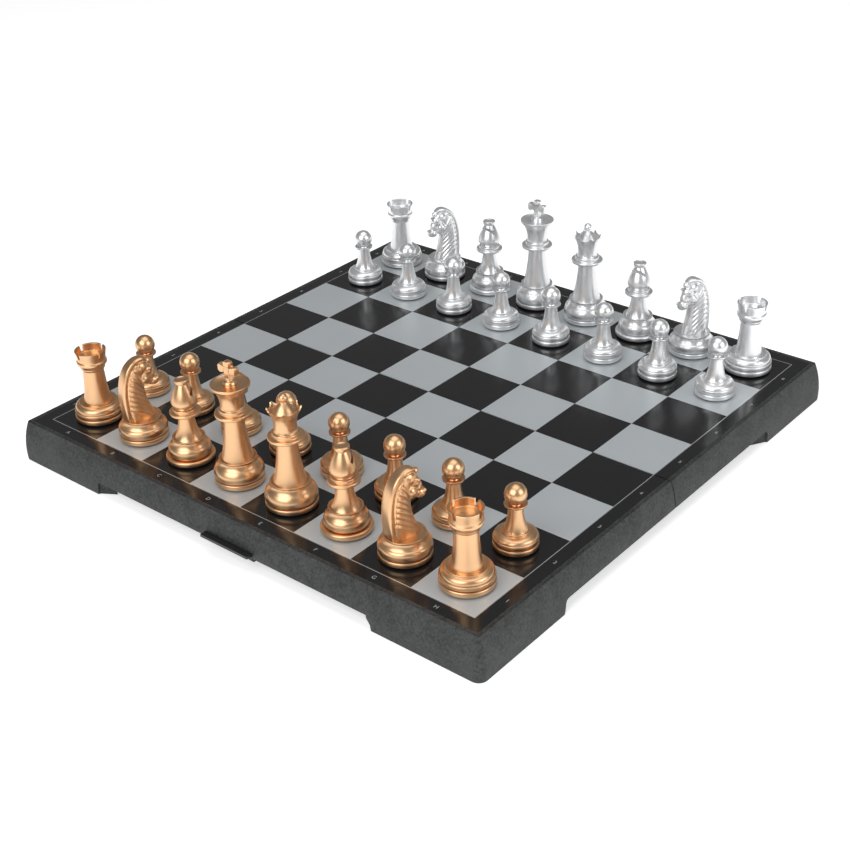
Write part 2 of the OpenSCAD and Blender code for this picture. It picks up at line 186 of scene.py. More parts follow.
shellLook = {
    "dark": (0.004, 0.0045, 0.0045), "light": (0.046, 0.049, 0.049),
    "cloud": 0.018, "mottle": 0.004, "grain": 0.0014,  # sizes of its speckles, m
    "offset": -1.75,  # sets how much of the surface is light
    "rough": 0.5,
}


def shellTone(wire, place):
    fine = grain(wire, place, shellLook["grain"], 3.0, 0.6)
    cloud = grain(wire, place, shellLook["cloud"], 3.0, 0.5)
    mottle = grain(wire, place, shellLook["mottle"], 3.0, 0.6)
    tone = cloud + mottle * 0.9 + fine * 2.6 + shellLook["offset"]
    return tone.blendColours((*shellLook["dark"], 1), (*shellLook["light"], 1))


def makeShellPlastic():
    material, wire, shader = newMaterial("charcoalShell", shellLook["light"])
    place = objectPlace(wire)
    fine = grain(wire, place, shellLook["grain"], 3.0, 0.6)
    feed(wire, shader, Base_Color=shellTone(wire, place),
         Roughness=shellLook["rough"] + fine * 0.2, Normal=raised(wire, fine, 0.35, 0.0004))
    return material


sheetLook = {
    "black": (0.0105, 0.0105, 0.0115),
    "grey": (0.52, 0.555, 0.575),
    "line": (0.55, 0.56, 0.57),
    "lineWidth": 0.5,  # mm
    "border": 8.4,  # mm of black print outside the line
    "cloud": 0.03, "fine": 0.0005,  # m
    "rough": 0.17, "greyRough": 0.2, "lineRough": 0.1, "rimRough": 0.43,
}


def makePrintedSheet():
    material, wire, shader = newMaterial("printedSheet", sheetLook["grey"])
    place = objectPlace(wire)
    apart = wire.node("ShaderNodeSeparateXYZ", None, {"Vector": place})
    x = Wire(wire.tree, apart.socket.node.outputs[0])
    y = Wire(wire.tree, apart.socket.node.outputs[1])
    side = board["square"] * millimetre
    column = wire.maths("FLOOR", x / side)
    row = wire.maths("FLOOR", y / side)
    odd = (column + row) % 2.0  # a1 is black
    reach = wire.maths("MAXIMUM", wire.maths("ABSOLUTE", x), wire.maths("ABSOLUTE", y))
    edge = 4 * side
    line = sheetLook["lineWidth"] * millimetre
    inside = reach < edge - line * 0.5
    onLine = wire.maths("ABSOLUTE", reach - edge) < line * 0.5
    grey = odd * inside
    fine = grain(wire, place, sheetLook["fine"], 2.0)
    cloud = grain(wire, place, sheetLook["cloud"], 2.0)
    greyTone = cloud.blendColours((*[c * 0.94 for c in sheetLook["grey"]], 1),
                                  (*sheetLook["grey"], 1))
    squares = grey.blendColours((*sheetLook["black"], 1), greyTone)
    lined = onLine.blendColours(squares, (*sheetLook["line"], 1))
    rim = reach > edge + sheetLook["border"] * millimetre
    colour = rim.blendColours(lined, shellTone(wire, place))
    rough = sheetLook["rough"] + grey * (sheetLook["greyRough"] + fine * 0.05) \
        + onLine * sheetLook["lineRough"] + rim * sheetLook["rimRough"]
    feed(wire, shader, Base_Color=colour, Metallic=grey * 0.3 + onLine * 0.6, Roughness=rough,
         Normal=raised(wire, cloud, 0.02, 0.0005))
    return material


glossLook = {"dark": (0.008, 0.008, 0.009), "light": (0.014, 0.014, 0.015), "cloud": 0.006,
             "rough": 0.34}


def makeGlossBlack():
    material, wire, shader = newMaterial("glossBlack", (0.01, 0.01, 0.011))
    cloud = grain(wire, objectPlace(wire), glossLook["cloud"], 2.0)
    colour = cloud.blendColours((*glossLook["dark"], 1), (*glossLook["light"], 1))
    feed(wire, shader, Base_Color=colour, Roughness=glossLook["rough"] + cloud * 0.08,
         Normal=raised(wire, cloud, 0.03, 0.0005))
    return material


trayLook = {"dark": (0.020, 0.020, 0.021), "light": (0.036, 0.036, 0.038), "cloud": 0.02,
            "fine": 0.0007, "rough": 0.45}


def makeTrayPlastic():
    material, wire, shader = newMaterial("trayPlastic", (0.03, 0.03, 0.032))
    place = objectPlace(wire)
    fine = grain(wire, place, trayLook["fine"], 3.0, 0.6)
    cloud = grain(wire, place, trayLook["cloud"], 2.0)
    colour = cloud.blendColours((*trayLook["dark"], 1), (*trayLook["light"], 1))
    feed(wire, shader, Base_Color=colour, Roughness=trayLook["rough"] + fine * 0.2,
         Normal=raised(wire, fine, 0.2, 0.0003))
    return material


steelLook = {"stretch": (0.05, 1.0, 1.0), "brush": 0.0005}


def makeSteel(name, dark, light, rough):
    # brushed along x
    material, wire, shader = newMaterial(name, light)
    stretched = wire.node("ShaderNodeMapping", None,
                          {"Vector": objectPlace(wire), "Scale": steelLook["stretch"]})
    brush = grain(wire, stretched, steelLook["brush"], 3.0, 0.6)
    colour = brush.blendColours((*dark, 1), (*light, 1))
    feed(wire, shader, Base_Color=colour, Metallic=1.0, Roughness=rough + brush * 0.15,
         Normal=raised(wire, brush, 0.08, 0.0002))
    return material


goldPlate = makePlated("champagneGold", platedGold)
silverPlate = makePlated("brightSilver", platedSilver)
felt = makeFelt()
shellPlastic = makeShellPlastic()
printedSheet = makePrintedSheet()
glossBlack = makeGlossBlack()
trayPlastic = makeTrayPlastic()
plateSteel = makeSteel("plateSteel", (0.42, 0.43, 0.45), (0.6, 0.61, 0.63), 0.35)
hingeSteel = makeSteel("hingeSteel", (0.36, 0.37, 0.39), (0.55, 0.56, 0.58), 0.28)
print("finishes made:", len(bpy.data.materials))

nodeFinish = {
    "shell": shellPlastic, "sheet": printedSheet, "steel": plateSteel, "tray": trayPlastic,
    "hinge": hingeSteel, "latch": glossBlack, "gold": goldPlate, "silver": silverPlate,
}
for part in frame["record"]["subparts"]:
    carried = frame["nodes"][part["node"]]
    carried.data.materials.clear()
    carried.data.materials.append(nodeFinish[part["material_slot"]])


# turned pieces

def rounded(knots, closed=False, steps=7):
    # a polyline whose corners are rounded by the third value of each knot, in mm
    count = len(knots)
    made = []
    for i, knot in enumerate(knots):
        here = Vector(knot[:2])
        soft = knot[2] if len(knot) > 2 else 0.0
        if soft <= 0 or (not closed and i in (0, count - 1)):
            made.append(tuple(here))
            continue
        back = Vector(knots[i - 1][:2]) - here
        ahead = Vector(knots[(i + 1) % count][:2]) - here
        first = here + back.normalized() * min(soft, back.length * 0.48)
        last = here + ahead.normalized() * min(soft, ahead.length * 0.48)
        made += bow(first, here, last, steps)
    return made


def arc(cx, cy, r, start, end, steps=10):
    return [(cx + r * math.cos(math.radians(start + (end - start) * i / steps)),
             cy + r * math.sin(math.radians(start + (end - start) * i / steps)))
            for i in range(steps + 1)]


def bow(first, pull, last, steps=14):
    made = []
    for i in range(steps + 1):
        t = i / steps
        made.append(tuple((1 - t) ** 2 * a + 2 * t * (1 - t) * b + t * t * c
                          for a, b, c in zip(first, pull, last)))
    return made


def turnMesh(bm, outline, around=96, materialIndex=0):
    # outline in mm, r and z, from the axis round to the axis again
    rings = []
    for r, z in outline:
        if r < nearZero:
            rings.append([bm.verts.new((0, 0, z * millimetre))])
        else:
            rings.append([bm.verts.new((r * millimetre * math.cos(2 * math.pi * k / around),
                                        r * millimetre * math.sin(2 * math.pi * k / around),
                                        z * millimetre)) for k in range(around)])
    for low, high in zip(rings, rings[1:]):
        for k in range(around):
            n = (k + 1) % around
            ends = ((low, k), (low, n), (high, n), (high, k))
            corners = list(dict.fromkeys(ring[i % len(ring)] for ring, i in ends))
            if len(corners) > 2:
                face = bm.faces.new(corners)
                face.material_index = materialIndex


footRing = {  # heights in mm; the groove's depth is a share of the radius
    "low": 0.65, "high": 4.0, "groove": 0.115, "grooveTop": 4.7, "beadTop": 7.0,
}


def footPoints(r, wide):
    groove = (wide - footRing["groove"]) * r
    return [(0, footRing["low"]), (r - 0.05, footRing["low"], 1.3), (r, footRing["high"], 1.4),
            (groove, footRing["high"] + 0.05, 0.12), (groove, footRing["grooveTop"], 0.12)]


def beadedBase(r, wide, lip, top, thick):
    # foot ring, bead, domed cushion and lip
    knots = footPoints(r, wide) + [
        (wide * r, footRing["grooveTop"], 0.9), (wide * r, footRing["beadTop"], 0.9),
        ((wide - 0.04) * r, 7.15, 0.25)]
    dome = bow(((wide - 0.04) * r, 7.2), ((wide - 0.04) * r, max(top - 1.9, 8.6)),
               ((lip + 0.04) * r, top - thick - 0.35))
    edge = [((lip + 0.01) * r, top - thick - 0.25, 0.2), ((lip + 0.015) * r, top, 0.45 * thick),
            ((lip - 0.055) * r, top, 0.3), ((lip - 0.075) * r, top - 0.35, 0.2)]
    return rounded(knots) + dome + rounded([dome[-1]] + edge + [((lip - 0.08) * r, top - 0.4)])


def swellingBase(r, wide, lip, top):
    # foot ring, broad swelling and a waist that rises to a thin lip
    knots = footPoints(r, wide) + [(wide * r, footRing["grooveTop"], 1.2)]
    swell = (wide * r, footRing["beadTop"])
    dome = bow(swell, (wide * r, 9.4), ((lip + 0.5 * (wide - lip)) * r, top - 4.4), 12)
    waist = bow(dome[-1], ((lip + 0.03) * r, top - 3.2), (lip * r, top - 1.1), 12)
    edge = [(lip * r, top - 1.1), ((lip + 0.012) * r, top, 0.35), ((lip - 0.06) * r, top, 0.3),
            ((lip - 0.08) * r, top - 0.5, 0.2), ((lip - 0.1) * r, top - 0.5)]
    return rounded(knots + [swell]) + dome + waist + rounded(edge)


def disc(wide, low, high, soft):
    # a ring that stands out round a stem
    return [(wide, low, soft), (wide, high, soft)]


pieceSizes = {  # base diameter and height, mm
    "king": (29.0, 76.0), "queen": (30.0, 69.0), "bishop": (29.0, 52.0),
    "knight": (29.5, 53.0), "rook": (30.0, 46.0), "pawn": (25.0, 38.5),
}
headDrops = {  # mm from the top down to the collar's foot and to the crown's edge
    "rook": {"collar": 13.0}, "bishop": {"collar": 22.0},
    "queen": {"collar": 27.0, "crown": 10.5}, "king": {"collar": 33.5, "crown": 13.5},
}


def pawnOutline(d, h):
    r = d / 2
    ball = 0.49 * r
    neck = h - 2 * ball
    return beadedBase(r, 0.985, 0.6, 11.2, 0.9) + \
        bow((0.55 * r, 10.9), (0.36 * r, 15.0), (0.305 * r, neck - 0.9), 16) + \
        rounded([(0.305 * r, neck - 0.9), (0.36 * r, neck - 0.8, 0.3), (0.49 * r, neck - 0.35, 0.3),
                 (0.505 * r, neck + 0.85, 0.4), (0.44 * r, neck + 0.75, 0.25),
                 (0.34 * r, neck + 0.2, 0.3), (0.25 * r, neck + 0.3)]) + \
        arc(0, h - ball, ball, -62, 90, 30)


def rookOutline(d, h):
    r = d / 2
    collar = h - headDrops["rook"]["collar"]
    return beadedBase(r, 0.985, 0.755, 12, 0.9) + \
        bow((0.575 * r, 11.5), (0.46 * r, 17), (0.425 * r, collar), 16) + \
        rounded([(0.425 * r, collar), (0.46 * r, collar + 0.4, 0.3), (0.5 * r, collar + 1.3, 0.5),
                 (0.505 * r, collar + 2.2, 0.4), (0.56 * r, collar + 4.0, 0.8)] +
                disc(0.61 * r, collar + 4.3, collar + 6.2, 0.85) +
                [(0.56 * r, collar + 6.6, 0.4), (0.575 * r, collar + 8.4, 1.5), (0.635 * r, h, 0.4),
                 (0.545 * r, h, 0.25), (0.515 * r, h - 4.6, 0.4), (0.2 * r, h - 4.9, 0.5),
                 (0, h - 4.9)])


def kingOutline(d, h):
    r = d / 2
    collar = h - headDrops["king"]["collar"]
    crown = h - headDrops["king"]["crown"]
    return swellingBase(r, 0.995, 0.74, 16) + \
        bow((0.655 * r, 15.5), (0.47 * r, 24), (0.39 * r, collar - 1.0), 18) + \
        rounded([(0.39 * r, collar - 1.0), (0.45 * r, collar - 0.2, 0.5)] +
                disc(0.72 * r, collar + 0.3, collar + 2.3, 0.8) +
                [(0.56 * r, collar + 2.7, 0.3)] +
                disc(0.545 * r, collar + 3.1, collar + 4.8, 0.7) +
                [(0.475 * r, collar + 5.0, 0.3), (0.455 * r, collar + 6.2)]) + \
        bow((0.455 * r, collar + 6.2), (0.47 * r, crown - 6), (0.74 * r, crown - 1.9), 16) + \
        rounded([(0.74 * r, crown - 1.9), (0.76 * r, crown - 1.6, 0.2), (0.78 * r, crown, 0.45),
                 (0.72 * r, crown, 0.3), (0.7 * r, crown - 0.35, 0.2), (0.5 * r, crown - 1.0, 1.0),
                 (0.27 * r, crown - 0.9, 0.3), (0.285 * r, crown + 0.2, 0.4),
                 (0.24 * r, crown + 1.5, 0.5), (0.15 * r, crown + 2.0, 0.4),
                 (0.13 * r, crown + 3.6, 0.2), (0, crown + 3.7)])


def queenOutline(d, h):
    r = d / 2
    collar = h - headDrops["queen"]["collar"]
    crown = h - headDrops["queen"]["crown"]
    return swellingBase(r, 0.99, 0.745, 16) + \
        bow((0.65 * r, 15.5), (0.46 * r, 22.5), (0.38 * r, collar - 1.0), 18) + \
        rounded([(0.38 * r, collar - 1.0), (0.44 * r, collar - 0.3, 0.4)] +
                disc(0.7 * r, collar + 0.3, collar + 2.2, 0.8) +
                [(0.55 * r, collar + 2.5, 0.3)] +
                disc(0.53 * r, collar + 2.9, collar + 4.5, 0.7) +
                [(0.45 * r, collar + 4.7, 0.3), (0.42 * r, collar + 6.0)]) + \
        bow((0.42 * r, collar + 6.0), (0.4 * r, crown - 4), (0.56 * r, crown), 14) + \
        rounded([(0.56 * r, crown), (0.65 * r, crown + 2.7, 0.3), (0.61 * r, crown + 2.8, 0.2),
                 (0.51 * r, crown + 0.2, 0.6), (0.46 * r, crown + 0.2, 0.5),
                 (0.26 * r, crown + 3.7, 1.2), (0.13 * r, crown + 5.4, 0.4),
                 (0.13 * r, h - 4.6)], steps=6) + \
        arc(0, h - 2.6, 2.6, -42, 90, 20)


def bishopOutline(d, h):
    r = d / 2
    collar = h - headDrops["bishop"]["collar"]
    return swellingBase(r, 0.865, 0.66, 15) + \
        bow((0.57 * r, 14.5), (0.36 * r, 18.5), (0.31 * r, collar - 0.7), 18) + \
        rounded([(0.31 * r, collar - 0.7), (0.36 * r, collar - 0.2, 0.3)] +
                disc(0.63 * r, collar + 0.1, collar + 1.9, 0.7) +
                [(0.5 * r, collar + 2.2, 0.3)] +
                disc(0.49 * r, collar + 2.5, collar + 3.9, 0.6) +
                [(0.4 * r, collar + 4.1, 0.25), (0.375 * r, collar + 5.0, 0.3)]) + \
        bow((0.38 * r, collar + 5.1), (0.54 * r, collar + 5.7), (0.53 * r, collar + 8.0), 12) + \
        bow((0.53 * r, collar + 8.0), (0.5 * r, collar + 11.6), (0.235 * r, h - 3.2), 16) + \
        rounded([(0.23 * r, h - 3.1), (0.225 * r, h - 2.6, 0.3), (0.29 * r, h - 2.2, 0.35),
                 (0.3 * r, h - 0.3, 0.5), (0.22 * r, h, 0.3), (0.16 * r, h - 0.4, 0.4),
                 (0, h - 0.5)])


def knightOutline(d, h):
    r = d / 2
    return swellingBase(r, 0.995, 0.78, 14.5) + [(0.66 * r, 14.0), (0, 14.0)]


outlines = {"pawn": pawnOutline, "rook": rookOutline, "king": kingOutline,
            "queen": queenOutline, "bishop": bishopOutline, "knight": knightOutline}


def finishMesh(bm, name, materials, sharp=32):
    bmesh.ops.recalc_face_normals(bm, faces=bm.faces)
    mesh = bpy.data.meshes.new(name)
    bm.to_mesh(mesh)
    bm.free()
    for material in materials:
        mesh.materials.append(material)
    mesh.polygons.foreach_set("use_smooth", [True] * len(mesh.polygons))
    mesh.set_sharp_from_angle(angle=math.radians(sharp))
    return mesh


def applied(mesh, changes, cutters=()):
    # the mesh after modifiers, each given as its type and settings
    body = bpy.data.objects.new("body", mesh)
    bpy.context.collection.objects.link(body)
    for cutter in cutters:
        bpy.context.collection.objects.link(cutter)
    for kind, settings in changes:
        modifier = body.modifiers.new(kind.lower(), kind)
        for name, value in settings.items():
            setattr(modifier, name, value)
    bpy.context.view_layer.update()
    seen = body.evaluated_get(bpy.context.evaluated_depsgraph_get())
    made = bpy.data.meshes.new_from_object(seen)
    made.name = mesh.name
    for cutter in cutters:
        bpy.data.objects.remove(cutter)
    bpy.data.objects.remove(body)
    return made


def carve(mesh, cutters):
    changes = [("BOOLEAN", {"operation": "DIFFERENCE", "solver": "EXACT", "object": cutter})
               for cutter in cutters]
    return applied(mesh, changes, cutters)


def solidOf(name, build, matrix=None):
    bm = bmesh.new()
    build(bm)
    if matrix is not None:
        bm.transform(matrix)
    bmesh.ops.recalc_face_normals(bm, faces=bm.faces)
    mesh = bpy.data.meshes.new(name)
    bm.to_mesh(mesh)
    bm.free()
    return bpy.data.objects.new(name, mesh)


def prism(bm, outline, low, high):
    # outline in the x-z plane, pushed along y, in mm
    near, far = [[bm.verts.new((x * millimetre, y * millimetre, z * millimetre))
                  for x, z in outline] for y in (low, high)]
    bm.faces.new(near)
    bm.faces.new(list(reversed(far)))
    for k in range(len(outline)):
        n = (k + 1) % len(outline)
        bm.faces.new([near[k], far[k], far[n], near[n]])


def ringOf(name, count, build, turn=0.0):
    # the same cutter, spaced evenly round the piece's axis
    step = 360 / count
    return [solidOf(name, build, Matrix.Rotation(math.radians(step * i + turn), 4, "Z"))
            for i in range(count)]


rookSlots = {"count": 4, "drop": 3.9, "halfLow": 0.65, "halfHigh": 1.5, "past": 1.0, "start": 0.5}


def rookCutters(d, h):
    # slots in the battlements, wider at their tops
    low, high = h - rookSlots["drop"], h + rookSlots["past"]
    outline = [(-rookSlots["halfLow"], low), (rookSlots["halfLow"], low),
               (rookSlots["halfHigh"], high), (-rookSlots["halfHigh"], high)]
    return ringOf("slot", rookSlots["count"],
                  lambda bm: prism(bm, outline, rookSlots["start"], d))


queenScallops = {"count": 8, "radius": 3.3, "rise": 4.1, "corners": 28, "start": 0.53}


def queenCutters(d, h):
    # round scallops in the edge of the crown
    r, corners = queenScallops["radius"], queenScallops["corners"]
    middle = h - headDrops["queen"]["crown"] + queenScallops["rise"]
    angles = [2 * math.pi * i / corners for i in range(corners)]
    outline = [(r * math.cos(a), middle + r * math.sin(a)) for a in angles]
    return ringOf("scallop", queenScallops["count"],
                  lambda bm: prism(bm, outline, queenScallops["start"] * d / 2, d),
                  180 / queenScallops["count"])


mitre = {"tilt": 45, "aside": 1.0, "drop": 9.8, "wide": 1.9, "deep": 14.0}  # degrees, then mm


def bishopCutters(d, h):
    tilt = Matrix.Rotation(math.radians(mitre["tilt"]), 4, "X")
    shift = Matrix.Translation((0, mitre["aside"] * millimetre, (h - mitre["drop"]) * millimetre))
    outline = [(-d, 0), (d, 0), (d, mitre["wide"]), (-d, mitre["wide"])]
    return [solidOf("mitreSlot", lambda bm: prism(bm, outline, 0, mitre["deep"]), shift @ tilt)]


pieceCutters = {"rook": rookCutters, "queen": queenCutters, "bishop": bishopCutters}
cross = {  # half span as a share of the base's radius, middle as a share of the height, mm
    "tall": 10.4, "span": 0.46, "middle": 0.52, "halfThick": 1.75, "soft": 0.55,
}


def crossMesh(bm, d, h):
    r = d / 2
    base = h - cross["tall"]
    half = cross["span"] * r
    middle = base + cross["middle"] * cross["tall"]
    right = [(0.16 * r, base), (0.1 * r, middle - 1.5, 0.6), (half - 0.4, middle - 2.9, 1.3),
             (half, middle + 2.7, 1.4), (0.11 * r, middle + 1.4, 0.7), (0.17 * r, h - 0.1, 1.2)]
    left = [(-x, *others) for x, *others in reversed(right)]
    outline = rounded(left[-1:] + right + left[:-1], closed=True, steps=5)
    before = set(bm.faces)
    prism(bm, outline, -cross["halfThick"], cross["halfThick"])
    ends = [face for face in bm.faces if face not in before and len(face.verts) > 4]
    bmesh.ops.bevel(bm, geom=[edge for face in ends for edge in face.edges],
                    offset=cross["soft"] * millimetre, segments=3, profile=0.5, affect="EDGES")


# the horse's head

horse = {
    "voxel": 0.3,  # mm
    "squash": 0.964,
    "slices": (12.2, 0.75, 52),  # lowest, step and count of the neck's rings
    "fullness": 3.2,  # 2 is an ellipse, more is boxier
    "keel": 0.22,  # how much the neck narrows towards its front
    # neck: height, back, front, half width
    "neck": [(12.2, -9.0, 9.6, 6.0), (16, -9.7, 8.4, 5.9), (21, -10.0, 6.4, 5.6),
             (27, -10.1, 4.6, 5.3), (33, -9.8, 3.8, 5.1), (38, -9.2, 4.0, 5.0),
             (43, -8.0, 4.6, 4.8), (47, -6.2, 4.6, 4.3), (50.5, -3.4, 3.6, 3.2)],
    # crest band: y, z, half width, half thickness
    "crest": [(-7.6, 11.5, 4.6, 1.6), (-9.3, 18, 4.7, 1.5), (-9.9, 26, 4.6, 1.5),
              (-9.7, 34, 4.4, 1.5), (-8.2, 42, 4.1, 1.5), (-5.2, 48.4, 3.8, 1.5),
              (-0.8, 52.3, 3.4, 1.5), (3.6, 53.2, 2.9, 1.4), (7.0, 51.9, 2.1, 1.2)],
    # rounded masses of the head: x, y, z and the three radii
    "masses": [(0, 3.0, 47.4, 4.0, 5.0, 4.6), (0, 5.8, 44.6, 3.9, 4.3, 4.6),
               (0, 8.2, 40.8, 3.1, 3.3, 4.4), (0, 10.0, 36.6, 3.5, 3.5, 3.2),
               (0, 3.6, 40.0, 5.3, 4.2, 4.3), (0, 6.6, 38.0, 3.3, 4.6, 2.8),
               (0, 8.0, 50.6, 1.9, 1.9, 1.8)],
    # small forms on each side: x, y, z and the three radii
    "sides": [(3.3, 7.4, 46.4, 1.1, 1.7, 0.9), (3.5, 6.8, 44.6, 0.8, 1.0, 0.8),
              (2.2, 12.0, 37.8, 1.0, 1.2, 1.0)],
}


def spline(points, steps=8):
    # a smooth curve through the points
    made = []
    for i in range(len(points) - 1):
        p0 = points[max(i - 1, 0)]
        p1, p2 = points[i], points[i + 1]
        p3 = points[min(i + 2, len(points) - 1)]
        for s in range(steps + (1 if i == len(points) - 2 else 0)):
            t = s / steps
            made.append(tuple(
                0.5 * (2 * b + (c - a) * t + (2 * a - 5 * b + 4 * c - e) * t * t
                       + (3 * b - a - 3 * c + e) * t ** 3)
                for a, b, c, e in zip(p0, p1, p2, p3)))
    return made


def loft(bm, rings):
    loops = [[bm.verts.new([c * millimetre for c in point]) for point in ring] for ring in rings]
    for low, high in zip(loops, loops[1:]):
        for k in range(len(low)):
            n = (k + 1) % len(low)
            bm.faces.new([low[k], low[n], high[n], high[k]])
    bm.faces.new(loops[-1])
    bm.faces.new(list(reversed(loops[0])))


def blob(bm, x, y, z, rx, ry, rz):
    matrix = Matrix.LocRotScale(Vector((x, y, z)) * millimetre, None,
                                Vector((rx, ry, rz)) * millimetre)
    bmesh.ops.create_icosphere(bm, subdivisions=4, radius=1.0, matrix=matrix)


def neckStation(z):
    stations = horse["neck"]
    for a, b in zip(stations, stations[1:]):
        if z <= b[0]:
            t = max(0.0, (z - a[0]) / (b[0] - a[0]))
            return [a[i] + (b[i] - a[i]) * t for i in (1, 2, 3)]
    return list(stations[-1][1:])


def neckWidth(y, z):
    # half width of the neck, which thins to a keel at its front
    back, front, half = neckStation(z)
    along = (2 * y - back - front) / (front - back)
    along = max(-1.0, min(1.0, along))
    return half * (1 - abs(along) ** horse["fullness"]) ** 0.5 \
        * (1 - horse["keel"] * max(0.0, along + 0.2))


def neckRing(z, count=44):
    back, front = neckStation(z)[:2]
    ring = []
    for k in range(count):
        a = 2 * math.pi * k / count
        y = (back + front) / 2 + (front - back) / 2 * math.cos(a)
        side = math.sin(a)
        x = math.copysign(neckWidth(y, z), side) if abs(side) > nearZero else 0.0
        ring.append((x, y, z))
    return ring


def sweep(bm, path, count=20, square=2.0):
    # a closed rope along the path; each point is x, y, z, half width and half thickness
    rings = []
    for i, point in enumerate(path):
        here = Vector(point[:3])
        ahead = Vector(path[min(i + 1, len(path) - 1)][:3]) - Vector(path[max(i - 1, 0)][:3])
        side = Vector((1, 0, 0))
        up = ahead.cross(side).normalized()
        side = up.cross(ahead).normalized()
        ring = []
        for k in range(count):
            a = 2 * math.pi * k / count
            c = math.copysign(abs(math.cos(a)) ** (2 / square), math.cos(a))
            n = math.copysign(abs(math.sin(a)) ** (2 / square), math.sin(a))
            ring.append(tuple(here + side * point[3] * c + up * point[4] * n))
        rings.append(ring)
    loft(bm, rings)


mane = {
    "strands": 8,
    "climb": 23.5,  # mm from the lowest strand up to the highest
    "startZ": 23.5, "endZ": 13.5,  # ends of the lowest strand
    "inset": 2.6,  # its start, forward of the back of the neck
    "endY": 5.4, "shorter": 3.6,  # the lowest strand's end, and how much less the highest has
    "steps": 18,
    "droop": 1.25,
    "thick": 1.25, "thinning": 0.7,
    "sunk": 0.25,
}


def strandPath(side, share):
    # one strand of the mane; share is 0 for the lowest and 1 for the highest
    startZ = mane["startZ"] + mane["climb"] * share
    endZ = mane["endZ"] + mane["climb"] * share
    startY = neckStation(startZ)[0] + mane["inset"]
    endY = mane["endY"] - mane["shorter"] * share
    path = []
    for s in range(mane["steps"] + 1):
        t = s / mane["steps"]
        y = startY + (endY - startY) * t
        z = startZ + (endZ - startZ) * (t ** mane["droop"])
        thick = mane["thick"] * (1 - t ** 4 * mane["thinning"])
        path.append((side * (neckWidth(y, z) - mane["sunk"]), y, z, thick, thick))
    return path


def horseMesh():
    bm = bmesh.new()
    lowest, step, count = horse["slices"]
    loft(bm, [neckRing(lowest + step * i) for i in range(count)])
    sweep(bm, [(0, *point) for point in spline(horse["crest"])], count=32, square=3.6)
    for mass in horse["masses"]:
        blob(bm, *mass)
    for x, y, z, rx, ry, rz in horse["sides"]:
        for side in (-1, 1):
            blob(bm, side * x, y, z, rx, ry, rz)
    for i in range(mane["strands"]):
        for side in (-1, 1):
            sweep(bm, strandPath(side, i / (mane["strands"] - 1)), count=12)
    bmesh.ops.recalc_face_normals(bm, faces=bm.faces)
    mesh = bpy.data.meshes.new("horse")
    bm.to_mesh(mesh)
    bm.free()
    return applied(mesh, [
        ("REMESH", {"mode": "VOXEL", "voxel_size": horse["voxel"] * millimetre}),
        ("SMOOTH", {"factor": 0.5, "iterations": 4})])


horseForm = horseMesh()
horseForm.transform(Matrix.Diagonal((1, 1, horse["squash"], 1)))
feltPad = {"low": 0.87, "wide": 0.88, "chamfer": 0.1, "tall": 0.6}  # shares of the radius, then mm


def makePieceMesh(kind, plate, colourName):
    d, h = pieceSizes[kind]
    name = colourName + kind.capitalize()
    bm = bmesh.new()
    turnMesh(bm, outlines[kind](d, h))
    mesh = finishMesh(bm, name, [plate])
    if kind in pieceCutters:
        mesh = carve(mesh, pieceCutters[kind](d, h))
    bm = bmesh.new()
    bm.from_mesh(mesh)
    if kind == "king":
        crossMesh(bm, d, h)
    if kind == "knight":
        bm.from_mesh(horseForm)
    wide, tall = feltPad["wide"] * d / 2, feltPad["tall"]
    turnMesh(bm, [(0, 0), (feltPad["low"] * d / 2, 0), (wide, feltPad["chamfer"]), (wide, tall),
                  (0, tall)], around=64, materialIndex=1)
    return finishMesh(bm, name, [plate, felt])


backRow = ["rook", "knight", "bishop", "king", "queen", "bishop", "knight", "rook"]
army = {
    "gold": {"plate": goldPlate, "backRank": 0, "pawnRank": 1, "turn": 0},
    "silver": {"plate": silverPlate, "backRank": 7, "pawnRank": 6, "turn": 180},
}
pieceCount = 0
for colourName, side in army.items():
    meshes = {kind: makePieceMesh(kind, side["plate"], colourName) for kind in pieceSizes}
    for column in range(8):
        letter = board["files"][column].lower()
        for kind, rank in ((backRow[column], side["backRank"]), ("pawn", side["pawnRank"])):
            node = "%s_%s_%s" % (colourName, kind, letter)
            pieceName = colourName + kind.capitalize() + letter.upper()
            piece = bpy.data.objects.new(pieceName, meshes[kind])
            bpy.context.collection.objects.link(piece)
            piece.location = (squareMiddle(column) * millimetre, squareMiddle(rank) * millimetre,
                              boardTop + board["restGap"] * millimetre)
            facing = side["turn"] + (board["knightTurn"] if kind == "knight" else 0)
            piece.rotation_euler = (0, 0, math.radians(facing))
            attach(piece, "piece_" + node)
            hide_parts(node)
            pieceCount += 1
print("pieces made:", pieceCount)


# coordinates on the border

letterLook = {  # mm
    "size": 3.7,
    "lift": 0.03,
    "border": 4.6,  # from the grid's edge to the middle of a letter
    "dark": (0.30, 0.31, 0.32), "light": (0.42, 0.43, 0.44), "fine": 0.0005,
}


def makeInk():
    material, wire, shader = newMaterial("silverInk", (0.5, 0.51, 0.52))
    fine = grain(wire, objectPlace(wire), letterLook["fine"], 2.0)
    colour = fine.blendColours((*letterLook["dark"], 1), (*letterLook["light"], 1))
    feed(wire, shader, Base_Color=colour, Roughness=0.35 + fine * 0.1)
    return material


ink = makeInk()


